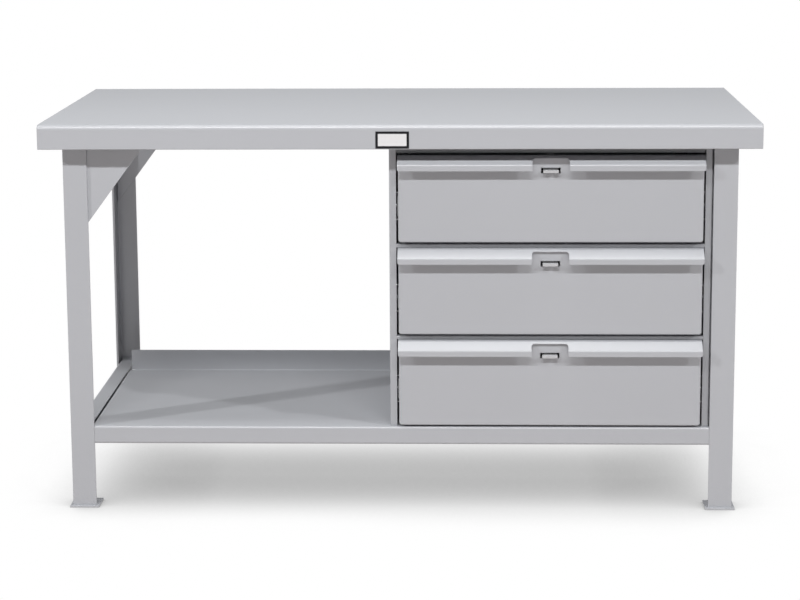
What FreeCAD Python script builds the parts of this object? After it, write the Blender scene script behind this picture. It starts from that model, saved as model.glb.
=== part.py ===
import FreeCAD, Part
import math
import os
import Sketcher

# Steel work table: a formed top on four angle legs, a lower shelf between two side rails, two gussets
# at the left end, and a case of three latched drawers on telescopic ball slides at the right.
# Millimetres. The origin is on the floor under the middle of the top, +Z is up, the front faces -Y.

SIZES = {
    # Formed top and its nameplate
    "top_width": 1524,
    "top_depth": 762,
    "top_height": 843,
    "top_sheet": 4.55,
    "top_lip": 52.5,
    "top_bend": 10,
    "top_return": 19,
    "edge_round": 1.6,
    "plate_width": 70.5,
    "plate_height": 36,
    "plate_thick": 0.6,
    "plate_drop": 32.6,
    "plate_left": 12.7,
    # Angle legs and foot plates
    "side_overhang": 46,
    "front_overhang": 38,
    "leg_size": 50.8,
    "leg_wall": 4.76,
    "leg_root": 3,
    "foot_margin": 6.35,
    "foot_thick": 4,
    "anchor_radius": 6,
    "anchor_inset": 30,
    # End gussets
    "gusset_sheet": 4.76,
    "gusset_reach": 198.3,
    "gusset_drop": 267,
    # Shelf and its rails
    "rail_sheet": 1.9,
    "rail_drop": 56,
    "rail_bend": 2.5,
    "shelf_height": 182,
    "shelf_sheet": 2.66,
    "shelf_lip": 39.3,
    "shelf_return": 14,
    "shelf_depth": 543,
    "shelf_upstand": 49,
    "shelf_flange": 35,
    "shelf_bend": 2.3,
    "flange_bend": 0.9,
    "shelf_lap": 8.2,
    "shelf_fit": 0.3,
    "shelf_gap": 3.9,
    # Drawer case
    "case_width": 686.2,
    "case_depth": 527,
    "case_gap": 1,
    "case_setback": 12,
    "case_sheet": 1.9,
    "case_bend": 1,
    "stile": 15,
    "rear_flange": 20,
    "back_sheet": 1.5,
    "divider_depth": 18,
    "divider_face": 7.4,
    "divider_lip": 6.6,
    "top_rail_rise": 3.4,
    "top_rail_flange": 20,
    "tie_inset": 8,
    "tie_flange": 25,
    # Drawer fronts and handles
    "drawer_lift": 4,
    "case_headroom": 52.45,
    "drawer_gap": 5.4,
    "front_gap": 4.6,
    "front_proud": 13,
    "front_short": 15.7,
    "front_depth": 18,
    "front_return": 15,
    "front_sheet": 1.9,
    "front_corner": 6,
    "front_bend": 3,
    "slot_width": 41,
    "slot_height": 12,
    "slot_drop": 35.9,
    "handle_sheet": 1.9,
    "handle_flange": 14,
    "handle_reach": 20,
    "handle_drop": 18,
    "handle_lip": 12.7,
    "handle_bend": 3.5,
    "handle_over": 1.6,
    "handle_corner": 4,
    "notch_width": 78.5,
    "notch_strip": 5.2,
    "notch_corner": 6,
    # Drawer boxes
    "box_sheet": 1.2,
    "box_rise": 8,
    "box_below_slot": 0.4,
    "box_bend": 2.5,
    # Gravity latch
    "pivot_back": 11,
    "pivot_drop": 7.3,
    "pin_radius": 2.5,
    "pin_play": 0.1,
    "ear_play": 0.05,
    "ear_gap": 44,
    "ear_sheet": 1.5,
    "bracket_wing": 7,
    "bracket_height": 16,
    "rivet_head": 1.5,
    "pin_head_radius": 4,
    "hub_radius": 5,
    "tab_width": 33,
    "tab_thick": 2,
    "tab_reach": 10.5,
    "tab_rise": 5.4,
    "tab_lip": 3.6,
    "tab_corner": 2,
    "arm_width": 14,
    "nose_thick": 3,
    "nose_gap": 0.6,
    "nose_clear": 0.5,
    # Telescopic slides, from the case side inwards
    "upright_depth": 10.5,
    "upright_width": 30,
    "upright_inset": 11,
    "slide_inset": 13,
    "slide_length": 500,
    "slide_centre": 75,
    "slide_sheet": 2,
    "slide_bend": 0.5,
    "slide_thick": 19,
    "web_gap": 3,
    "outer_half": 30,
    "outer_flange": 14.6,
    "middle_half": 23,
    "middle_flange": 12.6,
    "inner_half": 16,
    "inner_flange": 9.4,
    "cage_sheet": 0.8,
    "cage_web_gap": 1.1,
    "cage_flange": 9,
    "cage_length": 200,
    "cage_front": 148,
    "ball_radius": 2.2,
    "ball_play": 0.3,
    "ball_inset": 5,
    "ball_pitch": 32,
    # Slide screws and rivets
    "shank_radius": 2.4,
    "shank_play": 0.1,
    "screw_length": 5,
    "screw_head": 1.8,
    "head_radius": 4.2,
    "rivet_inset": 60,
}

LEVELS = ("bottom", "middle", "top")
BALLS_IN_ROW = 6
NEAR = 1e-4

doc = FreeCAD.newDocument("work_table")
sheet = doc.addObject("Spreadsheet::Sheet", "Sizes")
for row, (alias, number) in enumerate(SIZES.items(), 1):
    sheet.set(f"A{row}", alias)
    sheet.set(f"B{row}", str(number))
    sheet.setAlias(f"B{row}", alias)
doc.recompute()


class Size:
    """A length: its number, and the expression that ties it to the sheet."""

    def __init__(self, number, text):
        self.number = number
        self.text = text

    def __add__(self, other):
        other = as_size(other)
        return Size(self.number + other.number, f"({self.text} + {other.text})")

    def __sub__(self, other):
        other = as_size(other)
        return Size(self.number - other.number, f"({self.text} - {other.text})")

    def __mul__(self, other):
        other = as_size(other)
        return Size(self.number * other.number, f"({self.text} * {other.text})")

    def __truediv__(self, other):
        other = as_size(other)
        return Size(self.number / other.number, f"({self.text} / {other.text})")

    def __neg__(self):
        return Size(-self.number, f"(-{self.text})")


def as_size(value):
    if isinstance(value, Size):
        return value
    return Size(float(value), f"({float(value)})")


def hypotenuse(first, second):
    return Size(math.hypot(first.number, second.number), f"sqrt({first.text}^2 + {second.text}^2)")


class Dimensions:
    """The sheet's sizes by name."""


dim = Dimensions()
for alias, number in SIZES.items():
    setattr(dim, alias, Size(float(number), f"Sizes.{alias}"))

# Places that several pieces share
zero = as_size(0)
top_under = dim.top_height - dim.top_sheet
lip_bottom = dim.top_height - dim.top_lip
leg_x = dim.top_width / 2 - dim.side_overhang
leg_y = dim.top_depth / 2 - dim.front_overhang
leg_edge = leg_x - dim.leg_size
leg_face = leg_y - dim.leg_wall
seat_x = leg_x - dim.leg_wall - dim.leg_root
shelf_half = leg_edge + dim.shelf_lap
shelf_back = dim.shelf_depth - leg_y
case_right = leg_edge - dim.case_gap
case_left = case_right - dim.case_width
case_middle = (case_left + case_right) / 2
case_front = dim.case_setback - leg_y
case_back_y = case_front + dim.case_depth
case_foot = dim.shelf_height
drawer_foot = dim.shelf_height + dim.drawer_lift
drawer_pitch = (top_under - drawer_foot - dim.case_headroom) / len(LEVELS)
front_height = drawer_pitch - dim.front_short
slot_sill = front_height - dim.slot_drop
pivot_height = front_height - dim.pivot_drop
box_height = slot_sill - dim.box_below_slot - dim.box_rise
front_face = case_front - dim.front_proud
front_back = front_face + dim.front_depth
front_half = dim.case_width / 2 - dim.stile - dim.front_gap
keeper_y = case_front + dim.divider_depth
keeper_z = drawer_pitch - dim.drawer_gap - dim.divider_lip
pivot_y = front_face + dim.pivot_back
slide_front = case_front + dim.slide_inset
outer_u = dim.case_sheet + dim.upright_depth
middle_u = outer_u + dim.slide_sheet + dim.web_gap
box_u = outer_u + dim.slide_thick
box_length = dim.slide_inset + dim.slide_length - dim.front_depth + dim.front_proud
hole_radius = dim.shank_radius + dim.shank_play

nodes = []


def bind(item, name, size):
    item.setExpression(name, as_size(size).text)


def new_body(label):
    body = doc.addObject("PartDesign::Body", label)
    body.Label = label
    return body


def new_sketch(body, plane, away):
    """A sketch on one of the body's own planes, moved along the third axis to the place 'away'."""
    sketch = body.newObject("Sketcher::SketchObject", body.Name + "_sketch")
    support = [item for item in body.Origin.OriginFeatures if item.Role == plane + "_Plane"][0]
    sketch.AttachmentSupport = [(support, "")]
    sketch.MapMode = "FlatFace"
    away = as_size(away)
    bind(sketch, "AttachmentOffset.Base.z", -away if plane == "XZ" else away)
    return sketch


def hold_point(sketch, line, end, point, ways=(0, 1)):
    """Ties a point of the sketch to its sizes, across and up."""
    for way in ways:
        kind, axis = (("DistanceX", -2), ("DistanceY", -1))[way]
        size = as_size(point[way])
        if abs(size.number) < NEAR:
            sketch.addConstraint(Sketcher.Constraint("PointOnObject", line, end, axis))
            continue
        index = sketch.addConstraint(Sketcher.Constraint(kind, -1, 1, line, end, size.number))
        sketch.setExpression(f"Constraints[{index}]", size.text)


def flat(point):
    return FreeCAD.Vector(as_size(point[0]).number, as_size(point[1]).number, 0)


def corner_arc(start, end, centre):
    """An arc that turns to the left about its centre."""
    start, end, centre = flat(start), flat(end), flat(centre)
    first, last = start - centre, end - centre
    circle = Part.Circle(centre, FreeCAD.Vector(0, 0, 1), first.Length)
    return Part.ArcOfCircle(circle, math.atan2(first.y, first.x), math.atan2(last.y, last.x))


def draw_outline(sketch, points, centres):
    """A closed outline of lines; a side whose index has a centre is an arc."""
    first = sketch.GeometryCount
    count = len(points)
    for index in range(count):
        start, end = points[index], points[(index + 1) % count]
        if index in centres:
            sketch.addGeometry(corner_arc(start, end, centres[index]), False)
        else:
            sketch.addGeometry(Part.LineSegment(flat(start), flat(end)), False)
    for index in range(count):
        following = first + (index + 1) % count
        sketch.addConstraint(Sketcher.Constraint("Coincident", first + index, 2, following, 1))
    for index, point in enumerate(points):
        hold_point(sketch, first + index, 1, point)
    for index, centre in centres.items():
        hold_point(sketch, first + index, 3, centre, (0,))


def draw_circle(sketch, centre, radius):
    circle = Part.Circle(flat(centre), FreeCAD.Vector(0, 0, 1), radius.number)
    index = sketch.addGeometry(circle, False)
    hold_point(sketch, index, 3, centre)
    datum = sketch.addConstraint(Sketcher.Constraint("Radius", index, radius.number))
    sketch.setExpression(f"Constraints[{datum}]", radius.text)


def rectangle(low_a, low_b, high_a, high_b):
    return [(low_a, low_b), (high_a, low_b), (high_a, high_b), (low_a, high_b)]


def soft_rectangle(low_a, low_b, high_a, high_b, radius):
    """A rectangle with round corners: its points, and the centres of its corner arcs."""
    first_a, last_a = low_a + radius, high_a - radius
    first_b, last_b = low_b + radius, high_b - radius
    points = [(first_a, low_b), (last_a, low_b), (high_a, first_b), (high_a, last_b),
              (last_a, high_b), (first_a, high_b), (low_a, last_b), (low_a, first_b)]
    centres = {1: (last_a, first_b), 3: (last_a, last_b), 5: (first_a, last_b), 7: (first_a, first_b)}
    return points, centres


def extrude(body, kind, sketch, plane, length):
    """A Pad or Pocket that runs from the sketch along the plus direction of the third axis."""
    feature = body.newObject("PartDesign::" + kind, body.Name + "_" + kind.lower())
    feature.Profile = sketch
    bind(feature, "Length", length)
    feature.Reversed = (plane == "XZ") == (kind == "Pad")
    return feature


def add_prism(body, plane, points, away, length):
    sketch = new_sketch(body, plane, away)
    draw_outline(sketch, points, {})
    return extrude(body, "Pad", sketch, plane, length)


def cut(body, plane, away, length, outlines=(), circles=(), centres=None):
    """Removes outlines and round holes, and checks that material went."""
    doc.recompute()
    before = body.Shape.Volume
    sketch = new_sketch(body, plane, away)
    for points in outlines:
        draw_outline(sketch, points, centres or {})
    for centre, radius in circles:
        draw_circle(sketch, centre, radius)
    extrude(body, "Pocket", sketch, plane, length)
    doc.recompute()
    if body.Shape.Volume >= before:
        raise RuntimeError(f"{body.Label}: a cut removed nothing")


def round_edges(body, radius, test):
    """Rounds the edges whose ends and middle all pass the test."""
    doc.recompute()
    names = []
    for number, edge in enumerate(body.Tip.Shape.Edges, 1):
        middle = edge.valueAt((edge.FirstParameter + edge.LastParameter) / 2)
        points = [vertex.Point for vertex in edge.Vertexes] + [middle]
        if all(test(point) for point in points):
            names.append(f"Edge{number}")
    if not names:
        raise RuntimeError(f"{body.Label}: no edge to round")
    base = body.Tip
    fillet = body.newObject("PartDesign::Fillet", body.Name + "_fillet")
    fillet.Base = (base, names)
    bind(fillet, "Radius", radius)


def beside(plane, corners):
    """A test for the edges that rise from these corners of a profile on the plane."""
    first, second = ["XYZ".index(letter) for letter in plane]

    def test(point):
        for corner in corners:
            place = flat(corner)
            if abs(point[first] - place.x) < NEAR and abs(point[second] - place.y) < NEAR:
                return True
        return False

    return test


def level_at(axis, *places):
    """A test for the edges that lie at one of these places along an axis."""
    index = "XYZ".index(axis)
    numbers = [as_size(place).number for place in places]
    return lambda point: any(abs(point[index] - number) < NEAR for number in numbers)


def direction(start, end):
    run = flat(end) - flat(start)
    return (round(run.x / run.Length), round(run.y / run.Length))


def fold(path, thickness, side):
    """The section of a sheet folded square along a path. The sheet lies to the left (1) or right (-1).

    Returns the outline, the inner corners and the outer corners of the bends.
    """
    runs = [direction(start, end) for start, end in zip(path, path[1:])]
    faces = [(-run[1] * side, run[0] * side) for run in runs]
    copy = []
    for index, (a, b) in enumerate(path):
        near_faces = faces[max(index - 1, 0):index + 1]
        shift_a = sum(face[0] for face in near_faces)
        shift_b = sum(face[1] for face in near_faces)
        copy.append((a + thickness * shift_a if shift_a else a, b + thickness * shift_b if shift_b else b))
    inner = []
    outer = []
    for index in range(1, len(path) - 1):
        before, after = runs[index - 1], runs[index]
        turn = before[0] * after[1] - before[1] * after[0]
        pair = (copy[index], path[index]) if turn == side else (path[index], copy[index])
        inner.append(pair[0])
        outer.append(pair[1])
    return path + copy[::-1], inner, outer


def folded_sheet(label, plane, path, thickness, side, away, length, bend):
    """A sheet folded along a path, as long as 'length' along the third axis."""
    body = new_body(label)
    outline, inner, outer = fold(path, thickness, side)
    add_prism(body, plane, outline, away, length)
    round_edges(body, bend, beside(plane, inner))
    round_edges(body, bend + thickness, beside(plane, outer))
    return body


def lift(item, height):
    """Sets a piece that was drawn from its drawer's foot at its height."""
    bind(item, "Placement.Base.z", height)
    return item


def keep(item):
    nodes.append(item)
    return item


def keep_group(label, items):
    """Several like solids under one name."""
    group = doc.addObject("Part::Compound", label)
    group.Label = label
    group.Links = items
    return keep(group)


def solid_group(label, shapes):
    """Loose repeated solids, such as balls or fasteners, in one object."""
    group = doc.addObject("Part::Feature", label)
    group.Label = label
    group.Shape = Part.makeCompound(shapes)
    group.Placement = FreeCAD.Placement()
    return group


def across(hand, depth):
    """The place at a depth inwards from the case's outer face, on the left (1) or the right (-1)."""
    return case_left + depth if hand == 1 else case_right - depth


def drawer_height(level):
    return drawer_foot + drawer_pitch * LEVELS.index(level)


HANDS = (("left", 1), ("right", -1))


def make_worktop():
    """Top plate with lips turned down all round and a return flange turned in under each lip."""
    body = new_body("worktop")
    half_x = dim.top_width / 2
    half_y = dim.top_depth / 2
    inset = dim.top_sheet
    mouth = dim.top_return
    outline = rectangle(-half_x, -half_y, half_x, half_y)
    add_prism(body, "XY", outline, lip_bottom, dim.top_lip)
    round_edges(body, dim.top_bend, beside("YZ", [(-half_y, dim.top_height), (half_y, dim.top_height)]))
    at_ends = level_at("X", -half_x, half_x)
    at_bottom = level_at("Z", lip_bottom)
    round_edges(body, dim.edge_round, lambda point: at_ends(point) or at_bottom(point))
    opening = rectangle(mouth - half_x, mouth - half_y, half_x - mouth, half_y - mouth)
    cut(body, "XY", lip_bottom, dim.top_sheet, [opening])
    hollow = rectangle(inset - half_x, inset - half_y, half_x - inset, half_y - inset)
    cut(body, "XY", lip_bottom + dim.top_sheet, dim.top_lip - dim.top_sheet * 2, [hollow])
    keep(body)


def make_nameplate():
    """Thin bare plate stuck on the front lip."""
    body = new_body("nameplate")
    left = -dim.plate_left - dim.plate_width / 2
    low = dim.top_height - dim.plate_drop - dim.plate_height / 2
    outline = rectangle(left, low, left + dim.plate_width, low + dim.plate_height)
    add_prism(body, "XZ", outline, -dim.top_depth / 2 - dim.plate_thick, dim.plate_thick)
    keep(body)


def make_leg(label, side, end):
    """Angle leg with its corner outwards, from its foot plate to the top."""
    body = new_body(label + "_leg")
    corner_x, corner_y = leg_x * side, leg_y * end
    tip_x, tip_y = leg_edge * side, (leg_y - dim.leg_size) * end
    root_x, root_y = (leg_x - dim.leg_wall) * side, leg_face * end
    outline = [(corner_x, corner_y), (tip_x, corner_y), (tip_x, root_y),
               (root_x, root_y), (root_x, tip_y), (corner_x, tip_y)]
    add_prism(body, "XY", outline, dim.foot_thick, top_under - dim.foot_thick)
    round_edges(body, dim.leg_root, beside("XY", [(root_x, root_y)]))
    keep(body)


def make_foot(label, side, end):
    """Square foot plate with a hole for a floor anchor inside the angle."""
    body = new_body(label + "_foot")
    out_x, out_y = leg_x + dim.foot_margin, leg_y + dim.foot_margin
    in_x, in_y = leg_edge - dim.foot_margin, leg_y - dim.leg_size - dim.foot_margin
    outline = rectangle(in_x * side, in_y * end, out_x * side, out_y * end)
    add_prism(body, "XY", outline, 0, dim.foot_thick)
    anchor = ((leg_x - dim.anchor_inset) * side, (leg_y - dim.anchor_inset) * end)
    cut(body, "XY", 0, dim.foot_thick, circles=[(anchor, dim.anchor_radius)])
    keep(body)


def make_end_gussets():
    """Two triangular plates in the corners between the left legs and the top, inside the legs' flanges."""
    low = top_under - dim.gusset_drop
    triangle = [(-seat_x, low), (dim.gusset_reach - seat_x, top_under), (-seat_x, top_under)]
    plates = []
    for name, place in (("front", -leg_face), ("rear", leg_face - dim.gusset_sheet)):
        plate = new_body(f"{name}_end_gusset")
        add_prism(plate, "XZ", triangle, place, dim.gusset_sheet)
        plates.append(plate)
    keep_group("end_gussets", plates)


def make_shelf_rail(label, side):
    """Angle rail between the legs of one end, level with the shelf, its lower flange at the outside."""
    path = [(-shelf_half * side, dim.shelf_height), (-seat_x * side, dim.shelf_height),
            (-seat_x * side, dim.shelf_height - dim.rail_drop)]
    rail = folded_sheet(label + "_shelf_rail", "XZ", path, dim.rail_sheet, side, -leg_face,
                        leg_face * 2, dim.rail_bend)
    keep(rail)


def make_lower_shelf():
    """Shelf with a front lip flush with the legs, an upstand at the rear and flanges at the ends.

    Its corners are notched round the front legs, and relieved beside the upstand. The foot of each end flange
    is turned out to meet the rail, which leaves a narrow groove along the top.
    """
    height, gauge = dim.shelf_height, dim.shelf_sheet
    low = height - dim.shelf_lip
    path = [(dim.shelf_return - leg_y, low), (-leg_y, low), (-leg_y, height),
            (shelf_back, height), (shelf_back, height + dim.shelf_upstand)]
    brink = shelf_half - dim.shelf_gap
    shelf = folded_sheet("lower_shelf", "YZ", path, gauge, -1, -brink, brink * 2, dim.shelf_bend)
    front = dim.shelf_fit - leg_face
    flange_low = height - dim.shelf_flange
    run = shelf_back + gauge - front
    for side in (-1, 1):
        flange = rectangle((brink - gauge) * side, flange_low, brink * side, height - gauge / 2)
        add_prism(shelf, "XZ", flange, front, run)
        foot = rectangle(brink * side, flange_low, (seat_x - dim.rail_sheet) * side, flange_low + gauge)
        add_prism(shelf, "XZ", foot, front, run)
    edge = leg_edge - dim.shelf_fit
    relief = dim.shelf_bend + gauge
    past = dim.shelf_lap * 2
    notches = []
    for side in (-1, 1):
        notches.append(rectangle(edge * side, -leg_y - past, (edge + past) * side, front))
        notches.append(rectangle((brink - relief) * side, shelf_back - relief,
                                 (shelf_half + past) * side, shelf_back + gauge + past))
    cut(shelf, "XY", low, dim.shelf_lip + dim.shelf_upstand, notches)
    ends = [(-brink, height), (brink, height)]
    round_edges(shelf, dim.flange_bend + gauge, beside("XZ", ends))
    keep(shelf)


def make_case_side(label, hand):
    """Side of the drawer case with a stile turned in at the front and a flange at the rear."""
    path = [(across(hand, dim.stile), case_front), (across(hand, 0), case_front),
            (across(hand, 0), case_back_y), (across(hand, dim.rear_flange), case_back_y)]
    side = folded_sheet(f"case_{label}_side", "XY", path, dim.case_sheet, -hand, case_foot,
                        top_under - case_foot, dim.case_bend)
    keep(side)


def make_case_back():
    body = new_body("case_back")
    inset = dim.case_sheet + dim.case_bend
    back = case_back_y - dim.case_sheet
    outline = rectangle(across(1, inset), back - dim.back_sheet, across(-1, inset), back)
    add_prism(body, "XY", outline, case_foot, top_under - case_foot)
    keep(body)


def make_case_rails():
    """Cross rails between the stiles: one over each drawer, with a rear lip that keeps its latch."""
    inner = across(1, dim.stile)
    width = dim.case_width - dim.stile * 2
    for label, level in (("case_lower_divider", "bottom"), ("case_upper_divider", "middle")):
        low = drawer_height(level) + keeper_z
        high = low + dim.divider_lip
        path = [(case_front, high - dim.divider_face), (case_front, high),
                (keeper_y, high), (keeper_y, low)]
        keep(folded_sheet(label, "YZ", path, dim.case_sheet, -1, inner, width, dim.case_bend))
    low = drawer_height("top") + keeper_z
    high = low + dim.divider_lip + dim.top_rail_rise
    behind, under = case_front + dim.case_sheet, top_under - dim.case_sheet
    path = [(keeper_y, low), (keeper_y, high), (behind, high), (behind, under),
            (case_front + dim.top_rail_flange, under)]
    keep(folded_sheet("case_top_rail", "YZ", path, dim.case_sheet, 1, inner, width, dim.case_bend))


def make_leg_tie():
    """Angle strip that ties the case to the front right leg and closes the slit between them."""
    front = case_front + dim.tie_inset
    path = [(case_right, front + dim.tie_flange), (case_right, front), (leg_x - dim.leg_wall, front)]
    keep(folded_sheet("case_leg_tie", "XY", path, dim.case_sheet, 1, case_foot, top_under - case_foot,
                      dim.case_bend))


def upright_places():
    """Front edges of the front and rear slide uprights."""
    return (case_front + dim.upright_inset, slide_front + dim.slide_length - dim.upright_width)


def screw_places():
    return [place + dim.upright_width / 2 for place in upright_places()]


def make_uprights(label, hand):
    """Two channels on the case side that carry the outer slides clear of the stile."""
    channels = []
    holes = []
    for place in screw_places():
        for level in LEVELS:
            holes.append(((place, drawer_height(level) + dim.slide_centre), hole_radius))
    for name, front in zip(("front", "rear"), upright_places()):
        back = front + dim.upright_width
        path = [(across(hand, dim.case_sheet), front), (across(hand, outer_u), front),
                (across(hand, outer_u), back), (across(hand, dim.case_sheet), back)]
        channel = folded_sheet(f"{label}_{name}_upright", "XY", path, dim.case_sheet, hand, case_foot,
                               top_under - case_foot, dim.case_bend)
        mine = [hole for hole in holes if front.number < hole[0][0].number < back.number]
        skin = across(hand, outer_u) if hand == -1 else across(hand, outer_u) - dim.case_sheet
        cut(channel, "YZ", skin, dim.case_sheet, circles=mine)
        channels.append(channel)
    keep_group(label + "_slide_uprights", channels)


def channel_section(hand, web, flange, half, inwards):
    """Path round the outside of a slide channel. Its flanges point inwards (1) or outwards (-1)."""
    low, high = dim.slide_centre - half, dim.slide_centre + half
    tip = web + flange * inwards
    return [(across(hand, tip), low), (across(hand, web), low),
            (across(hand, web), high), (across(hand, tip), high)]


def make_slides(level):
    """The three nested members of a drawer's left and right slides."""
    members = (("outer", outer_u, dim.outer_flange, dim.outer_half, 1),
               ("middle", middle_u, dim.middle_flange, dim.middle_half, 1),
               ("inner", box_u, dim.inner_flange, dim.inner_half, -1))
    rivets = [((place, dim.slide_centre), hole_radius) for place in rivet_places()]
    screws = [((place, dim.slide_centre), hole_radius) for place in screw_places()]
    for name, web, flange, half, inwards in members:
        pair = []
        for label, hand in HANDS:
            path = channel_section(hand, web, flange, half, inwards)
            slide = folded_sheet(f"{level}_{label}_{name}_slide", "XZ", path, dim.slide_sheet,
                                 -hand * inwards, slide_front, dim.slide_length, dim.slide_bend)
            skin = across(hand, web) if hand == inwards else across(hand, web) - dim.slide_sheet
            if name != "middle":
                holes = screws if name == "outer" else rivets
                cut(slide, "YZ", skin, dim.slide_sheet, circles=holes)
            pair.append(lift(slide, drawer_height(level)))
        keep_group(f"{level}_drawer_{name}_slides", pair)


def make_cages(level):
    """Ball cages between the slide members, each a thin channel with two rows of balls."""
    gap_outer = (dim.outer_half - dim.slide_sheet + dim.middle_half) / 2
    gap_inner = (dim.middle_half - dim.slide_sheet + dim.inner_half) / 2
    rows = (("outer", outer_u + dim.slide_sheet, gap_outer),
            ("inner", middle_u + dim.slide_sheet, gap_inner))
    front = slide_front + dim.cage_front
    for name, behind, half in rows:
        items = []
        balls = []
        web = behind + dim.cage_web_gap
        for label, hand in HANDS:
            path = channel_section(hand, web, dim.cage_flange, half + dim.cage_sheet / 2, 1)
            cage = folded_sheet(f"{level}_{label}_{name}_cage", "XZ", path, dim.cage_sheet, -hand,
                                front, dim.cage_length, dim.cage_sheet / 2)
            line = across(hand, web + dim.ball_inset)
            spread = dim.ball_pitch * (BALLS_IN_ROW - 1)
            start = front + (dim.cage_length - spread) / 2
            places = [(line, start + dim.ball_pitch * index) for index in range(BALLS_IN_ROW)]
            holes = [(place, dim.ball_radius + dim.ball_play) for place in places]
            floor = dim.slide_centre - half - dim.cage_sheet
            cut(cage, "XY", floor, (half + dim.cage_sheet) * 2, circles=holes)
            items.append(lift(cage, drawer_height(level)))
            for place in places:
                for row in (dim.slide_centre - half, dim.slide_centre + half):
                    centre = flat(place) + FreeCAD.Vector(0, 0, row.number)
                    balls.append(Part.makeSphere(dim.ball_radius.number, centre))
        loose = solid_group(f"{level}_{name}_balls", balls)
        items.append(lift(loose, drawer_height(level)))
        keep_group(f"{level}_drawer_{name}_cages", items)


def rivet_places():
    return (slide_front + dim.rivet_inset, slide_front + dim.slide_length - dim.rivet_inset)


def stud(hand, place, height, parts):
    """A round fastener along X: each part is (start depth, end depth, radius)."""
    pieces = []
    for start, end, radius in parts:
        first, last = across(hand, start).number, across(hand, end).number
        corner = FreeCAD.Vector(min(first, last), place.number, height.number)
        length = abs(last - first)
        pieces.append(Part.makeCylinder(radius.number, length, corner, FreeCAD.Vector(1, 0, 0)))
    return pieces[0].fuse(pieces[1:]).removeSplitter()


def make_slide_screws():
    """Screws that hold the outer slides to the uprights."""
    seat = outer_u + dim.slide_sheet
    parts = [(seat - dim.screw_length, seat, dim.shank_radius),
             (seat, seat + dim.screw_head, dim.head_radius)]
    screws = []
    for level in LEVELS:
        height = drawer_height(level) + dim.slide_centre
        for _, hand in HANDS:
            screws += [stud(hand, place, height, parts) for place in screw_places()]
    keep(solid_group("slide_screws", screws))


def make_slide_rivets(level):
    """Rivets that hold the inner slides to the drawer box."""
    inner, outer = box_u - dim.slide_sheet, box_u + dim.box_sheet
    parts = [(inner, outer, dim.shank_radius), (inner - dim.rivet_head, inner, dim.head_radius),
             (outer, outer + dim.rivet_head, dim.head_radius)]
    rivets = []
    for _, hand in HANDS:
        rivets += [stud(hand, place, dim.slide_centre, parts) for place in rivet_places()]
    keep(lift(solid_group(f"{level}_drawer_slide_rivets", rivets), drawer_height(level)))


def make_drawer_front(level):
    """Pan with its edges turned back, a return that the box is fixed to, and the latch tab's slot."""
    body = new_body(f"{level}_drawer_front")
    gauge = dim.front_sheet
    left, right = case_middle - front_half, case_middle + front_half
    outline = rectangle(left, zero, right, front_height)
    add_prism(body, "XZ", outline, front_face, dim.front_depth)
    round_edges(body, dim.front_corner, beside("XZ", outline))
    round_edges(body, dim.front_bend, level_at("Y", front_face))
    roof = front_height - gauge
    mouth = rectangle(left + dim.front_return, dim.front_return, right - dim.front_return, roof)
    cut(body, "XZ", front_face + gauge, dim.front_depth - gauge, [mouth])
    hollow, centres = soft_rectangle(left + gauge, gauge, right - gauge, roof, dim.front_corner - gauge)
    cut(body, "XZ", front_face + gauge, dim.front_depth - gauge * 2, [hollow], centres=centres)
    slot = rectangle(case_middle - dim.slot_width / 2, slot_sill,
                     case_middle + dim.slot_width / 2, slot_sill + dim.slot_height)
    cut(body, "XZ", front_face, gauge, [slot])
    keep(lift(body, drawer_height(level)))


def make_handle(level):
    """Bent pull along the top of the front: flange, sloped face and lip, notched over the latch."""
    body = new_body(f"{level}_drawer_handle")
    gauge = dim.handle_sheet
    top = front_height + gauge
    slant = hypotenuse(dim.handle_reach, dim.handle_drop)
    lip_y = front_face - dim.handle_reach
    bend_z = top - dim.handle_drop
    low = bend_z - dim.handle_lip
    back = front_face + dim.handle_flange
    inner_top = (front_face + gauge * (slant - dim.handle_reach) / dim.handle_drop, front_height)
    inner_bend = (lip_y + gauge, bend_z - gauge * (slant - dim.handle_drop) / dim.handle_reach)
    outline = [(back, top), (front_face, top), (lip_y, bend_z), (lip_y, low),
               (lip_y + gauge, low), inner_bend, inner_top, (back, front_height)]
    half = front_half + dim.handle_over
    add_prism(body, "YZ", outline, case_middle - half, half * 2)
    round_edges(body, dim.handle_bend, beside("YZ", [inner_top, inner_bend]))
    round_edges(body, dim.handle_bend + gauge, beside("YZ", [(front_face, top), (lip_y, bend_z)]))
    left, right = case_middle - dim.notch_width / 2, case_middle + dim.notch_width / 2
    high = top - dim.notch_strip
    below = low - dim.notch_corner - gauge
    notch, centres = soft_rectangle(left, below, right, high, dim.notch_corner)
    cut(body, "XZ", lip_y - gauge, dim.handle_reach + gauge * 2, [notch], centres=centres)
    corners = [(case_middle - half, low), (case_middle + half, low)]
    round_edges(body, dim.handle_corner, beside("XZ", corners))
    keep(lift(body, drawer_height(level)))


def make_box(level):
    """Open drawer box: a sheet folded up at both sides, with a plate let in at the front and the rear."""
    label = f"{level}_drawer_box"
    gauge = dim.box_sheet
    left, right = across(1, box_u), across(-1, box_u)
    low, high = dim.box_rise, dim.box_rise + box_height
    path = [(left, high), (left, low), (right, low), (right, high)]
    wrap = folded_sheet(label + "_wrap", "XZ", path, gauge, 1, front_back, box_length, dim.box_bend)
    rivets = [((place, dim.slide_centre), hole_radius) for place in rivet_places()]
    cut(wrap, "YZ", left, right - left, circles=rivets)
    pieces = [lift(wrap, drawer_height(level))]
    for name, place in (("front", front_back), ("rear", front_back + box_length - gauge)):
        plate = new_body(f"{label}_{name}")
        outline = rectangle(left + gauge, low + gauge, right - gauge, high)
        add_prism(plate, "XZ", outline, place, gauge)
        round_edges(plate, dim.box_bend, beside("XZ", outline[:2]))
        pieces.append(lift(plate, drawer_height(level)))
    keep_group(label, pieces)


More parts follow.
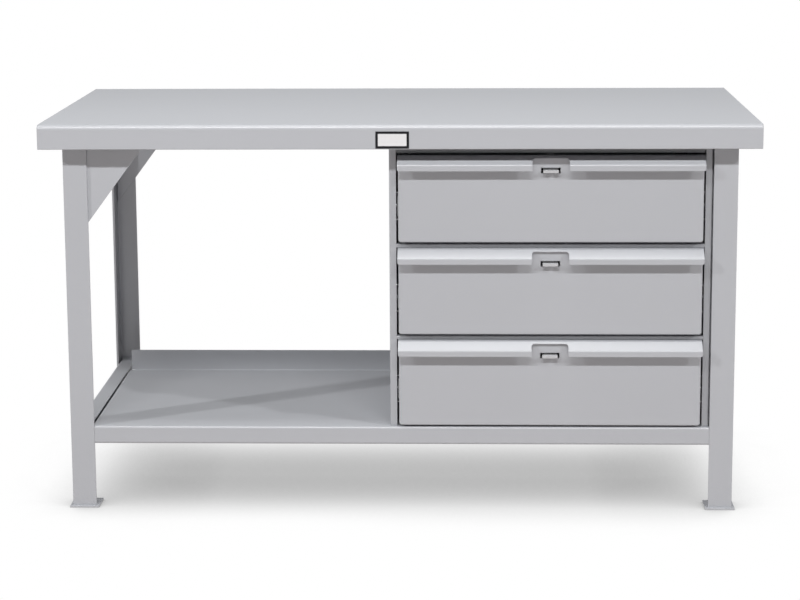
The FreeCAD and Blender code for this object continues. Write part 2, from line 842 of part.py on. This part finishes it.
def make_latch_bracket(level):
    """Bracket inside the front with two ears for the latch pin."""
    ear = dim.ear_sheet
    seat = front_face + dim.front_sheet
    ear_back = pivot_y + dim.hub_radius
    half = dim.ear_gap / 2
    low = pivot_height - dim.bracket_height / 2
    body = new_body(f"{level}_drawer_latch_bracket")
    wing = half + ear + dim.bracket_wing
    plate = rectangle(case_middle - wing, seat, case_middle + wing, seat + ear)
    high = front_height - dim.front_sheet
    add_prism(body, "XY", plate, low, high - low)
    for side in (-1, 1):
        near, far = case_middle + half * side, case_middle + (half + ear) * side
        add_prism(body, "XY", rectangle(near, seat, far, ear_back), low, high - low)
    holes = [((pivot_y, pivot_height), dim.pin_radius + dim.ear_play)]
    cut(body, "YZ", case_middle - wing, wing * 2, circles=holes)
    keep(lift(body, drawer_height(level)))


def make_latch_pin(level):
    """Pin through the bracket's ears, with a head at each end."""
    body = new_body(f"{level}_drawer_latch_pin")
    half = dim.ear_gap / 2 + dim.ear_sheet
    centre = (pivot_y, pivot_height)
    for start, length, radius in ((-half - dim.rivet_head, dim.rivet_head, dim.pin_head_radius),
                                  (-half, half * 2, dim.pin_radius),
                                  (half, dim.rivet_head, dim.pin_head_radius)):
        sketch = new_sketch(body, "YZ", case_middle + start)
        draw_circle(sketch, centre, radius)
        extrude(body, "Pad", sketch, "YZ", length)
    keep(lift(body, drawer_height(level)))


def make_latch_lever(level):
    """Lever on the pin: a lipped tab out through the slot, and an arm to the nose behind the keeper lip."""
    body = new_body(f"{level}_drawer_latch_lever")
    thick = dim.tab_thick
    half = dim.tab_width / 2
    tab_low = slot_sill + dim.tab_rise
    arm_front = pivot_y - thick / 2
    hub = new_sketch(body, "YZ", case_middle - half)
    draw_circle(hub, (pivot_y, pivot_height), dim.hub_radius)
    extrude(body, "Pad", hub, "YZ", dim.tab_width)
    tab_tip = front_face - dim.tab_reach
    lip_low = tab_low - dim.tab_lip
    bent = [(tab_tip, lip_low), (tab_tip + thick, lip_low), (tab_tip + thick, tab_low),
            (pivot_y + thick / 2, tab_low), (pivot_y + thick / 2, pivot_height),
            (arm_front, pivot_height), (arm_front, tab_low + thick), (tab_tip, tab_low + thick)]
    add_prism(body, "YZ", bent, case_middle - half, dim.tab_width)
    nose_y = keeper_y + dim.nose_gap
    nose_top = keeper_z - dim.nose_clear
    arm_low = pivot_height - thick / 2
    hook = [(pivot_y, arm_low), (nose_y + dim.nose_thick, arm_low), (nose_y + dim.nose_thick, nose_top),
            (nose_y, nose_top), (nose_y, arm_low + thick), (pivot_y, arm_low + thick)]
    add_prism(body, "YZ", hook, case_middle - dim.arm_width / 2, dim.arm_width)
    bore = [((pivot_y, pivot_height), dim.pin_radius + dim.pin_play)]
    cut(body, "YZ", case_middle - half, dim.tab_width, circles=bore)
    corners = [(case_middle - half, lip_low), (case_middle + half, lip_low)]
    round_edges(body, dim.tab_corner, beside("XZ", corners))
    keep(lift(body, drawer_height(level)))


make_worktop()
make_nameplate()
for end_label, end in (("front", -1), ("rear", 1)):
    for side_label, side in (("left", -1), ("right", 1)):
        make_leg(f"{end_label}_{side_label}", side, end)
        make_foot(f"{end_label}_{side_label}", side, end)
make_end_gussets()
make_shelf_rail("left", 1)
make_shelf_rail("right", -1)
make_lower_shelf()
for label, hand in HANDS:
    make_case_side(label, hand)
    make_uprights(label, hand)
make_case_back()
make_case_rails()
make_leg_tie()
make_slide_screws()
for level in LEVELS:
    make_slides(level)
    make_cages(level)
    make_drawer_front(level)
    make_handle(level)
    make_box(level)
    make_slide_rivets(level)
    make_latch_bracket(level)
    make_latch_pin(level)
    make_latch_lever(level)

doc.recompute()
for item in doc.Objects:
    if "Invalid" in item.State or "Error" in item.State:
        raise RuntimeError(f"{item.Label} did not build: {item.State}")
for item in nodes:
    if item.Shape.isNull() or not item.Shape.isValid():
        raise RuntimeError(f"{item.Label} has no valid shape")

os.makedirs("parts", exist_ok=True)
for item in nodes:
    item.Shape.exportStep(f"parts/{item.Label}.step")
print(len(nodes), "parts written")
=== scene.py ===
import math

import bpy
from bpy.props import FloatProperty, FloatVectorProperty, IntProperty, PointerProperty
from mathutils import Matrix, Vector


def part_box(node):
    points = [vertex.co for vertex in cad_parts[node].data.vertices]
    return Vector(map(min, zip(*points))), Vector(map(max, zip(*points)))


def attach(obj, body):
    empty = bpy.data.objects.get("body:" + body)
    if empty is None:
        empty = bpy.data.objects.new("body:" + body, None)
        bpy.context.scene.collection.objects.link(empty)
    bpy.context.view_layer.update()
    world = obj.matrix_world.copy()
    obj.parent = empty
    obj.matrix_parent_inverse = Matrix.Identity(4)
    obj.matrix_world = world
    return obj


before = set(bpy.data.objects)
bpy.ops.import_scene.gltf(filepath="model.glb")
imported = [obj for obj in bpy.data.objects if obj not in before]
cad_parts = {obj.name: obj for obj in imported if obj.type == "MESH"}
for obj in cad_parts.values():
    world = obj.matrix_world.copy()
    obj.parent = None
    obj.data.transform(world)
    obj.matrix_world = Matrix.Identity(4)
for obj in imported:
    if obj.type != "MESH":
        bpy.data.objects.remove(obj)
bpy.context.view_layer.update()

bl_info = {
    "name": "Steel work table",
    "version": (1, 0, 0),
    "blender": (4, 5, 0),
    "location": "View3D > Sidebar > Work table",
    "description": "Dresses the packed work table with its finishes, welds and a plain studio",
    "category": "Object",
}

ENDS = (("front", -1), ("rear", 1))
SIDES = (("left", -1), ("right", 1))
FRAME_BODY = "frame"

# Lengths in metres, as in the frame.
LEG_WALL = 0.00476
LEG_BEAD = 0.036
LEG_BEAD_INSET = 0.008
RAIL_SHEET = 0.0019
RAIL_BEAD = 0.024
SHELF_FOOT_LOW = 0.147
GUSSET_SHEET = 0.00476
GUSSET_MARGIN = 0.015
GUSSET_STITCHES = 3
CASE_MARGIN = 0.03

# Lamps and camera: places and sizes in metres, the camera's turn in degrees.
LAMP_AIM = Vector((0.0, -0.38, 0.72))
KEY_RISE = math.radians(46.5)
KEY_DISTANCE = 4.6
KEY_SIZE = (3.6, 0.2)
SIDE_KEY_OFFSET = 5.8
SIDE_KEY_SIZE = (0.25, 0.25)
OVERHEAD_PLACE = (-0.1, -0.75, 3.6)
OVERHEAD_AIM = (-0.1, -0.75, 0)
OVERHEAD_SIZE = (2.4, 0.3)
FLOOR_SIZE = 60
FLOOR_BOUNCE = (0.72, 0.665, 0.65, 1)
SENSOR_WIDTH = 36
LENS_SHIFT = -0.05
CAMERA_PLACE = (0.1584, -5.0500, 1.3897)
CAMERA_TURN = (79.869, 0.311, 1.859)


class FinishSettings(bpy.types.PropertyGroup):
    """Colours and surface of the table's finishes."""

    paint: FloatVectorProperty(
        name="Paint", description="Powder coat outside", subtype="COLOR", size=3,
        min=0, max=1, default=(0.445, 0.457, 0.484))
    inside_paint: FloatVectorProperty(
        name="Inside paint", description="Thinner coat inside the drawers", subtype="COLOR", size=3,
        min=0, max=1, default=(0.408, 0.415, 0.434))
    paint_roughness: FloatProperty(
        name="Paint roughness", description="How dull the powder coat is", subtype="FACTOR",
        min=0, max=1, default=0.34)
    handling: FloatProperty(
        name="Handling", description="How much duller use has made the faces that look up",
        subtype="FACTOR", min=0, max=0.6, default=0.32)
    peel_size: FloatProperty(
        name="Peel size", description="Width of the ripples in the powder coat", subtype="DISTANCE",
        unit="LENGTH", min=0.0003, max=0.01, default=0.0016)
    edge_round: FloatProperty(
        name="Edge rounding", description="Radius that the coat gives to sharp sheet edges",
        subtype="DISTANCE", unit="LENGTH", min=0, max=0.004, default=0.0009)
    zinc: FloatVectorProperty(
        name="Zinc", description="Plated slides, latches and fasteners", subtype="COLOR", size=3,
        min=0, max=1, default=(0.46, 0.47, 0.48))
    latch: FloatVectorProperty(
        name="Latch", description="Pale coat on the latch levers", subtype="COLOR", size=3,
        min=0, max=1, default=(0.50, 0.505, 0.52))
    plate_field: FloatVectorProperty(
        name="Plate field", description="Bare field of the nameplate", subtype="COLOR", size=3,
        min=0, max=1, default=(0.76, 0.76, 0.77))
    plate_border: FloatVectorProperty(
        name="Plate border", description="Printed border of the nameplate", subtype="COLOR", size=3,
        min=0, max=1, default=(0.008, 0.008, 0.010))
    border_width: FloatProperty(
        name="Border width", description="Width of the nameplate's border", subtype="DISTANCE",
        unit="LENGTH", min=0, max=0.01, default=0.0052)


class WeldSettings(bpy.types.PropertyGroup):
    """Sizes of the weld beads."""

    radius: FloatProperty(
        name="Bead radius", description="Half the width of a weld bead", subtype="DISTANCE",
        unit="LENGTH", min=0.001, max=0.01, default=0.0030)
    ripple: FloatProperty(
        name="Ripple spacing", description="Distance between the ripples of a bead", subtype="DISTANCE",
        unit="LENGTH", min=0.001, max=0.01, default=0.0030)
    swell: FloatProperty(
        name="Ripple swell", description="How far a ripple stands out from the bead", subtype="FACTOR",
        min=1, max=2, default=1.16)
    stitch: FloatProperty(
        name="Stitch length", description="Length of one bead of a broken seam", subtype="DISTANCE",
        unit="LENGTH", min=0.01, max=0.2, default=0.038)
    stitches: IntProperty(
        name="Stitches", description="Beads along one broken seam", min=1, max=12, default=5)


class StageSettings(bpy.types.PropertyGroup):
    """Studio light and camera."""

    key: FloatProperty(
        name="Key light", description="Power of the long strip in front of the table", subtype="POWER",
        unit="POWER", min=0, default=125)
    side_keys: FloatProperty(
        name="Side keys", description="Power of each lamp at the front corners", subtype="POWER",
        unit="POWER", min=0, default=178)
    overhead: FloatProperty(
        name="Overhead light", description="Power of the strip above the front edge", subtype="POWER",
        unit="POWER", min=0, default=26)
    fill: FloatProperty(
        name="Fill", description="Strength of the light from all round", min=0, max=2, default=0.05)
    fill_tint: FloatVectorProperty(
        name="Fill tint", description="Colour of the light from all round", subtype="COLOR", size=3,
        min=0, max=1, default=(1.0, 0.93, 0.89))
    # The floor's shade under the table is painted: these set how ambient occlusion dims the floor's glow
    # for the camera.
    shadow: FloatProperty(
        name="Shadow", description="Brightness of the floor in the table's deepest shade", subtype="FACTOR",
        min=0, max=1, default=0.17)
    shadow_fade: FloatProperty(
        name="Shadow fade", description="Share of open sky from which the floor is plain white",
        subtype="FACTOR", min=0.1, max=1, default=0.885)
    shadow_reach: FloatProperty(
        name="Shadow reach", description="How near the table has to be to shade the floor",
        subtype="DISTANCE", unit="LENGTH", min=0.05, max=3, default=0.30)
    focal_length: FloatProperty(
        name="Focal length", description="Camera lens", subtype="DISTANCE_CAMERA", min=10, default=100.94)


class Wire:
    """A node's output that takes part in sums written as Python."""

    def __init__(self, shader, socket):
        self.shader = shader
        self.socket = socket

    def _sum(self, operation, first, second):
        return self.shader.add("ShaderNodeMath", {"operation": operation}, {0: first, 1: second})

    def __add__(self, other):
        return self._sum("ADD", self, other)

    def __radd__(self, other):
        return self._sum("ADD", other, self)

    def __sub__(self, other):
        return self._sum("SUBTRACT", self, other)

    def __rsub__(self, other):
        return self._sum("SUBTRACT", other, self)

    def __mul__(self, other):
        return self._sum("MULTIPLY", self, other)

    def __rmul__(self, other):
        return self._sum("MULTIPLY", other, self)

    def __gt__(self, other):
        return self._sum("GREATER_THAN", self, other)


class Shader:
    """Adds nodes to a material or to the world."""

    def __init__(self, owner):
        owner.use_nodes = True
        self.tree = owner.node_tree
        self.tree.nodes.clear()

    def add(self, kind, settings=None, sockets=None, out=0):
        """One node: its settings first, then the values or wires of its sockets."""
        node = self.tree.nodes.new(kind)
        for name, value in (settings or {}).items():
            setattr(node, name, value)
        for name, value in (sockets or {}).items():
            if isinstance(value, Wire):
                self.tree.links.new(value.socket, node.inputs[name])
            else:
                node.inputs[name].default_value = value
        return Wire(self, node.outputs[out]) if len(node.outputs) else None

    def place(self):
        return self.add("ShaderNodeTexCoord", out="Object")

    def along(self, wire, axis):
        """One axis of a vector."""
        return self.add("ShaderNodeSeparateXYZ", None, {0: wire}, axis)

    def noise(self, size, detail=2.0, place=None):
        """Noise whose features are about as wide as 'size', in metres."""
        sockets = {"Vector": place or self.place(), "Scale": 1 / size, "Detail": detail}
        return self.add("ShaderNodeTexNoise", None, sockets, "Fac")

    def blend(self, factor, first, second):
        """A colour between two colours."""
        return self.add("ShaderNodeMix", {"data_type": "RGBA"}, {0: factor, 6: first, 7: second}, 2)

    def show(self, surface):
        self.add("ShaderNodeOutputMaterial", None, {"Surface": surface})


def opaque(colour, share=1.0):
    return tuple(min(1.0, channel * share) for channel in colour) + (1.0,)


def new_material(name):
    material = bpy.data.materials.new(name)
    return material, Shader(material)


def powder_coat(name, colour, finish):
    """Baked powder coat with faint clouds and orange peel, rounded at edges, dulled by use on top."""
    material, shader = new_material(name)
    place = shader.place()
    cloud_size = 0.55
    uneven = 0.045
    cloud = shader.noise(cloud_size, 3.0, place)
    peel = shader.noise(finish.peel_size, 2.0, place)
    fleck = shader.noise(finish.peel_size / 3, 1.0, place)
    tone = cloud * 0.65 + fleck * 0.35
    base = shader.blend(tone, opaque(colour, 1 - uneven), opaque(colour, 1 + uneven))
    facing_up = shader.along(shader.add("ShaderNodeTexCoord", out="Normal"), "Z")
    worn = shader.add("ShaderNodeMapRange", None,
                      {"Value": facing_up, "From Min": 0.97, "From Max": 0.999})
    roughness = peel * 0.10 + cloud * 0.06 + worn * finish.handling + (finish.paint_roughness - 0.08)
    edge = shader.add("ShaderNodeBevel", {"samples": 4}, {"Radius": finish.edge_round})
    normal = shader.add("ShaderNodeBump", None,
                        {"Strength": 0.03, "Distance": 0.0004, "Height": peel, "Normal": edge})
    surface = shader.add("ShaderNodeBsdfPrincipled", None,
                         {"Base Color": base, "Roughness": roughness, "Normal": normal,
                          "Specular IOR Level": 1.0})
    shader.show(surface)
    return material


def plated_steel(name, colour, along, finish):
    """Zinc-plated steel with fine lines drawn along one axis and a slight yellow-blue bloom."""
    material, shader = new_material(name)
    place = shader.place()
    line_width = 0.0009
    bloom_size = 0.035
    stretch = [1.0, 1.0, 1.0]
    stretch["XYZ".index(along)] = 0.03
    lines_place = shader.add("ShaderNodeMapping", None, {"Vector": place, "Scale": tuple(stretch)})
    lines = shader.noise(line_width, 2.0, lines_place)
    bloom = shader.noise(bloom_size, 3.0, place)
    warm = opaque((colour[0] * 1.02, colour[1], colour[2] * 0.93))
    cool = opaque((colour[0] * 0.94, colour[1] * 0.98, colour[2] * 1.04))
    base = shader.blend(bloom, warm, cool)
    roughness = lines * 0.16 + bloom * 0.10 + 0.20
    edge = shader.add("ShaderNodeBevel", {"samples": 4}, {"Radius": finish.edge_round / 2})
    normal = shader.add("ShaderNodeBump", None,
                        {"Strength": 0.12, "Distance": 0.0002, "Height": lines, "Normal": edge})
    surface = shader.add("ShaderNodeBsdfPrincipled", None,
                         {"Base Color": base, "Metallic": 1.0, "Roughness": roughness, "Normal": normal})
    shader.show(surface)
    return material


def bare_plate(name, low, high, finish):
    """Enamelled plate: a white field inside a printed black border."""
    material, shader = new_material(name)
    place = shader.place()
    border = finish.border_width
    across = shader.along(place, "X")
    up = shader.along(place, "Z")
    inside_width = (across > low.x + border) * (1 - (across > high.x - border))
    inside_height = (up > low.z + border) * (1 - (up > high.z - border))
    inside = inside_width * inside_height
    stain_size = 0.006
    stain = shader.noise(stain_size, 2.0, place)
    field = shader.blend(stain, opaque(finish.plate_field, 0.97), opaque(finish.plate_field, 1.03))
    base = shader.blend(inside, opaque(finish.plate_border), field)
    roughness = stain * 0.08 + 0.26
    normal = shader.add("ShaderNodeBump", None, {"Strength": 0.3, "Distance": 0.00006, "Height": inside})
    surface = shader.add("ShaderNodeBsdfPrincipled", None,
                         {"Base Color": base, "Roughness": roughness, "Normal": normal,
                          "Specular IOR Level": 0.2})
    shader.show(surface)
    return material


def dress(names, material):
    """Puts a finish on CAD nodes."""
    for name in names:
        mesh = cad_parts[name].data
        mesh.materials.clear()
        mesh.materials.append(material)


def made(name, builder, *values):
    """The material of that name, built the first time it is asked for."""
    return bpy.data.materials.get(name) or builder(name, *values)


def nodes_ending(*endings):
    return [name for name in sorted(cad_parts) if name.endswith(endings)]


def frame_paint(finish):
    return made("grey_powder_coat", powder_coat, finish.paint, finish)


def deselect_all():
    bpy.ops.object.select_all(action="DESELECT")


def select_only(*pieces):
    deselect_all()
    for piece in pieces:
        piece.select_set(True)
    bpy.context.view_layer.objects.active = pieces[0]


def weld_bead(length, weld):
    """One rippled bead along X, its middle at the origin."""
    sides = 10
    taper = 0.55
    deselect_all()
    bpy.ops.mesh.primitive_cylinder_add(vertices=sides, radius=weld.radius, depth=length,
                                        end_fill_type="NGON", rotation=(0, math.radians(90), 0))
    bead = bpy.context.object
    bpy.ops.object.transform_apply(location=True, rotation=True, scale=True)
    rings = max(4, 2 * round(length / weld.ripple / 2))
    bpy.ops.object.mode_set(mode="EDIT")
    bpy.ops.mesh.select_mode(type="EDGE")
    bpy.ops.mesh.select_all(action="DESELECT")
    bpy.ops.object.mode_set(mode="OBJECT")
    for edge in bead.data.edges:
        first, last = (bead.data.vertices[index].co for index in edge.vertices)
        edge.select = abs(first.x - last.x) > length / 2
    bpy.ops.object.mode_set(mode="EDIT")
    bpy.ops.mesh.subdivide(number_cuts=rings - 1)
    bpy.ops.object.mode_set(mode="OBJECT")
    step = length / rings
    for vertex in bead.data.vertices:
        ring = round((vertex.co.x + length / 2) / step)
        vertex.select = ring % 2 == 1
    for edge in bead.data.edges:
        edge.select = all(bead.data.vertices[index].select for index in edge.vertices)
    for face in bead.data.polygons:
        face.select = False
    bpy.ops.object.mode_set(mode="EDIT")
    bpy.ops.mesh.select_mode(type="VERT")
    bpy.ops.transform.resize(value=(1, weld.swell, weld.swell), center_override=(0, 0, 0))
    bpy.ops.mesh.select_all(action="DESELECT")
    bpy.ops.object.mode_set(mode="OBJECT")
    for vertex in bead.data.vertices:
        vertex.select = abs(vertex.co.x) > length / 2 - step / 4
    bpy.ops.object.mode_set(mode="EDIT")
    bpy.ops.transform.resize(value=(1, taper, taper), center_override=(0, 0, 0))
    bpy.ops.object.mode_set(mode="OBJECT")
    smooth = bead.modifiers.new("smooth", "SUBSURF")
    smooth.levels = 1
    smooth.render_levels = 1
    bpy.ops.object.modifier_apply(modifier=smooth.name)
    bpy.ops.object.shade_smooth()
    return bead


def weld_seams(name, seams, weld, finish):
    """Beads of one group as one piece. A seam is (middle, axis, length)."""
    models = {}
    beads = []
    for middle, axis, length in seams:
        if length not in models:
            models[length] = weld_bead(length, weld)
        bead = models[length].copy()
        bead.data = models[length].data.copy()
        bpy.context.collection.objects.link(bead)
        bead.location = middle
        bead.rotation_euler = (0, 0, math.radians(90) if axis == "Y" else 0)
        beads.append(bead)
    for model in models.values():
        bpy.data.objects.remove(model)
    select_only(*beads)
    bpy.ops.object.transform_apply(location=True, rotation=True, scale=True)
    bpy.ops.object.join()
    piece = bpy.context.object
    piece.name = name
    piece.data.name = name
    piece.data.materials.clear()
    piece.data.materials.append(frame_paint(finish))
    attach(piece, FRAME_BODY)
    deselect_all()
    return piece


def stitched(low, high, count):
    """Middles of evenly spaced stitches between two places."""
    step = (high - low) / count
    return [low + step * (index + 0.5) for index in range(count)]


def leg_insides():
    """For each leg: the side and end it stands at, the inner faces of its two flanges, and its box."""
    for end_name, end in ENDS:
        for side_name, side in SIDES:
            low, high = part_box(f"{end_name}_{side_name}_leg")
            outer_x = low.x if side < 0 else high.x
            outer_y = low.y if end < 0 else high.y
            yield side, end, outer_x - LEG_WALL * side, outer_y - LEG_WALL * end, low, high


class TABLE_OT_paint_frame(bpy.types.Operator):
    """Powder coat on the top, legs, gussets, shelf and drawer case"""
    bl_idname = "table.paint_frame"
    bl_label = "Paint the frame"

    def execute(self, context):
        finish = context.scene.table_finish
        names = ["worktop", "end_gussets", "lower_shelf"]
        names += nodes_ending("_leg", "_foot", "_shelf_rail", "_uprights", "_divider", "_side")
        names += ["case_back", "case_top_rail", "case_leg_tie"]
        dress(names, frame_paint(finish))
        return {"FINISHED"}


class TABLE_OT_paint_drawers(bpy.types.Operator):
    """Powder coat on the drawer fronts and handles, and the coat inside the boxes"""
    bl_idname = "table.paint_drawers"
    bl_label = "Paint the drawers"

    def execute(self, context):
        finish = context.scene.table_finish
        dress(nodes_ending("_front", "_handle"), frame_paint(finish))
        inside = made("drawer_inside_coat", powder_coat, finish.inside_paint, finish)
        dress(nodes_ending("_box"), inside)
        return {"FINISHED"}


class TABLE_OT_plate_hardware(bpy.types.Operator):
    """Zinc on the slides, ball cages, latches and fasteners"""
    bl_idname = "table.plate_hardware"
    bl_label = "Plate the hardware"

    def execute(self, context):
        finish = context.scene.table_finish
        slides = made("zinc_slides", plated_steel, finish.zinc, "Y", finish)
        dress(nodes_ending("_slides", "_cages"), slides)
        small = made("zinc_hardware", plated_steel, finish.zinc, "X", finish)
        dress(nodes_ending("_screws", "_rivets", "_pin", "_bracket"), small)
        dress(nodes_ending("_lever"), made("latch_coat", powder_coat, finish.latch, finish))
        return {"FINISHED"}


class TABLE_OT_finish_nameplate(bpy.types.Operator):
    """White field and black border of the bare nameplate"""
    bl_idname = "table.finish_nameplate"
    bl_label = "Finish the nameplate"

    def execute(self, context):
        finish = context.scene.table_finish
        low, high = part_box("nameplate")
        dress(["nameplate"], made("enamelled_plate", bare_plate, low, high, finish))
        return {"FINISHED"}


class TABLE_OT_weld_legs(bpy.types.Operator):
    """Beads inside each angle leg, at its foot plate and under the top"""
    bl_idname = "table.weld_legs"
    bl_label = "Weld the legs"

    def execute(self, context):
        scene = context.scene
        reach = LEG_BEAD_INSET + LEG_BEAD / 2
        seams = []
        for side, end, inner_x, inner_y, low, high in leg_insides():
            for height in (low.z, high.z):
                seams.append(((inner_x - reach * side, inner_y, height), "X", LEG_BEAD))
                seams.append(((inner_x, inner_y - reach * end, height), "Y", LEG_BEAD))
        weld_seams("leg_welds", seams, scene.table_weld, scene.table_finish)
        return {"FINISHED"}


class TABLE_OT_weld_shelf(bpy.types.Operator):
    """Beads under the ends of the shelf rails, and stitches between the rails and the shelf's feet"""
    bl_idname = "table.weld_shelf"
    bl_label = "Weld the shelf"

    def execute(self, context):
        scene = context.scene
        weld = scene.table_weld
        shelf_low, shelf_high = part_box("lower_shelf")
        seams = []
        for side_name, side in SIDES:
            low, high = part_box(f"{side_name}_shelf_rail")
            middle_x = (low.x + high.x) / 2
            for place in (low.y, high.y):
                seams.append(((middle_x, place, high.z - RAIL_SHEET), "X", RAIL_BEAD))
            inner = (low.x if side < 0 else high.x) - RAIL_SHEET * side
            for place in stitched(shelf_low.y, shelf_high.y, weld.stitches):
                seams.append(((inner, place, SHELF_FOOT_LOW), "Y", weld.stitch))
        weld_seams("shelf_welds", seams, weld, scene.table_finish)
        return {"FINISHED"}


class TABLE_OT_weld_gussets(bpy.types.Operator):
    """Stitches between the end gussets and the top"""
    bl_idname = "table.weld_gussets"
    bl_label = "Weld the gussets"

    def execute(self, context):
        scene = context.scene
        weld = scene.table_weld
        low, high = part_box("end_gussets")
        seams = []
        for inner in (low.y + GUSSET_SHEET, high.y - GUSSET_SHEET):
            for place in stitched(low.x + GUSSET_MARGIN, high.x - GUSSET_MARGIN, GUSSET_STITCHES):
                seams.append(((place, inner, high.z), "X", weld.stitch))
        weld_seams("gusset_welds", seams, weld, scene.table_finish)
        return {"FINISHED"}


class TABLE_OT_weld_case(bpy.types.Operator):
    """Stitches between the drawer case, the shelf and the top"""
    bl_idname = "table.weld_case"
    bl_label = "Weld the case"

    def execute(self, context):
        scene = context.scene
        weld = scene.table_weld
        low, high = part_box("case_left_side")
        seams = []
        for height in (low.z, high.z):
            for place in stitched(low.y + CASE_MARGIN, high.y - CASE_MARGIN, weld.stitches - 1):
                seams.append(((low.x, place, height), "Y", weld.stitch))
        weld_seams("case_welds", seams, weld, scene.table_finish)
        return {"FINISHED"}


def seen_rays(shader):
    """One for rays that show a thing to the camera, straight or in a reflection; else nought."""
    paths = shader.add("ShaderNodeLightPath", out="Is Camera Ray")
    outputs = paths.socket.node.outputs
    return paths + Wire(shader, outputs["Is Glossy Ray"]) + Wire(shader, outputs["Is Transmission Ray"])


def studio_floor(stage):
    """White floor that glows for the camera with a painted soft shade under the table, darker where ambient
    occlusion finds the table near, and throws back a plainer light.
    """
    material, shader = new_material("studio_floor")
    # Painted shade: ambient occlusion near the table, not the lamps, dims the floor's glow for the camera.
    open_sky = shader.add("ShaderNodeAmbientOcclusion", {"samples": 16},
                          {"Distance": stage.shadow_reach}, "AO")
    glow = shader.add("ShaderNodeMapRange", None,
                      {"Value": open_sky, "From Max": stage.shadow_fade, "To Min": stage.shadow})
    glow_with_painted_shade = shader.add("ShaderNodeEmission", None, {"Strength": glow})
    lit = shader.add("ShaderNodeBsdfDiffuse", None, {"Color": FLOOR_BOUNCE})
    shader.show(shader.add("ShaderNodeMixShader", None, {0: seen_rays(shader), 1: lit, 2: glow_with_painted_shade}))
    return material


def white_surround(stage, scene):
    """White all round where it is seen, and a weak warm light from it on the table."""
    world = bpy.data.worlds.new("white_surround")
    scene.world = world
    shader = Shader(world)
    seen = seen_rays(shader)
    colour = shader.blend(seen, opaque(stage.fill_tint), (1, 1, 1, 1))
    strength = seen * (1 - stage.fill) + stage.fill
    glow = shader.add("ShaderNodeBackground", None, {"Color": colour, "Strength": strength})
    shader.add("ShaderNodeOutputWorld", None, {"Surface": glow})


def soft_lamp(name, place, aim, size, power):
    """A rectangular lamp that points at a place."""
    lamp = bpy.data.lights.new(name, "AREA")
    lamp.shape = "RECTANGLE"
    lamp.size, lamp.size_y = size
    lamp.energy = power
    holder = bpy.data.objects.new(name, lamp)
    bpy.context.collection.objects.link(holder)
    holder.location = place
    holder.rotation_euler = (Vector(aim) - Vector(place)).to_track_quat("-Z", "Y").to_euler()


class TABLE_OT_build_stage(bpy.types.Operator):
    """Floor, lamps, surround and camera"""
    bl_idname = "table.build_stage"
    bl_label = "Build the stage"

    def execute(self, context):
        scene = context.scene
        stage = scene.table_stage
        deselect_all()
        bpy.ops.mesh.primitive_plane_add(size=FLOOR_SIZE)
        floor = context.object
        floor.name = "floor"
        floor.data.materials.append(studio_floor(stage))
        white_surround(stage, scene)
        key_way = Vector((0, -math.cos(KEY_RISE), math.sin(KEY_RISE)))
        key_place = LAMP_AIM + KEY_DISTANCE * key_way
        soft_lamp("key_lamp", key_place, LAMP_AIM, KEY_SIZE, stage.key)
        for name, side in SIDES:
            corner = key_place + Vector((SIDE_KEY_OFFSET * side, 0, 0))
            soft_lamp(f"{name}_key_lamp", corner, LAMP_AIM, SIDE_KEY_SIZE, stage.side_keys)
        soft_lamp("overhead_lamp", OVERHEAD_PLACE, OVERHEAD_AIM, OVERHEAD_SIZE, stage.overhead)
        eye = bpy.data.cameras.new("camera")
        eye.sensor_width = SENSOR_WIDTH
        eye.lens = stage.focal_length
        eye.shift_y = LENS_SHIFT
        camera = bpy.data.objects.new("camera", eye)
        context.collection.objects.link(camera)
        camera.location = CAMERA_PLACE
        camera.rotation_euler = [math.radians(angle) for angle in CAMERA_TURN]
        scene.camera = camera
        scene.view_settings.view_transform = "Standard"
        return {"FINISHED"}


class TABLE_PT_panel(bpy.types.Panel):
    """Lists the table's operators and settings"""
    bl_idname = "TABLE_PT_panel"
    bl_label = "Work table"
    bl_space_type = "VIEW_3D"
    bl_region_type = "UI"
    bl_category = "Work table"

    def draw(self, context):
        layout = self.layout
        for operator in OPERATORS:
            layout.operator(operator.bl_idname)
        for group in (context.scene.table_finish, context.scene.table_weld, context.scene.table_stage):
            box = layout.box()
            for name in group.__annotations__:
                box.prop(group, name)


OPERATORS = (
    TABLE_OT_paint_frame,
    TABLE_OT_paint_drawers,
    TABLE_OT_plate_hardware,
    TABLE_OT_finish_nameplate,
    TABLE_OT_weld_legs,
    TABLE_OT_weld_shelf,
    TABLE_OT_weld_gussets,
    TABLE_OT_weld_case,
    TABLE_OT_build_stage,
)
CLASSES = (FinishSettings, WeldSettings, StageSettings) + OPERATORS + (TABLE_PT_panel,)
POINTERS = {"table_finish": FinishSettings, "table_weld": WeldSettings, "table_stage": StageSettings}


def register():
    for item in CLASSES:
        bpy.utils.register_class(item)
    for name, group in POINTERS.items():
        setattr(bpy.types.Scene, name, PointerProperty(type=group))


def unregister():
    for name in POINTERS:
        delattr(bpy.types.Scene, name)
    for item in reversed(CLASSES):
        bpy.utils.unregister_class(item)


def main():
    register()
    bpy.ops.table.paint_frame()
    bpy.ops.table.paint_drawers()
    bpy.ops.table.plate_hardware()
    bpy.ops.table.finish_nameplate()
    bpy.ops.table.weld_legs()
    bpy.ops.table.weld_shelf()
    bpy.ops.table.weld_gussets()
    bpy.ops.table.weld_case()
    bpy.ops.table.build_stage()


if __name__ == "__main__":
    main()
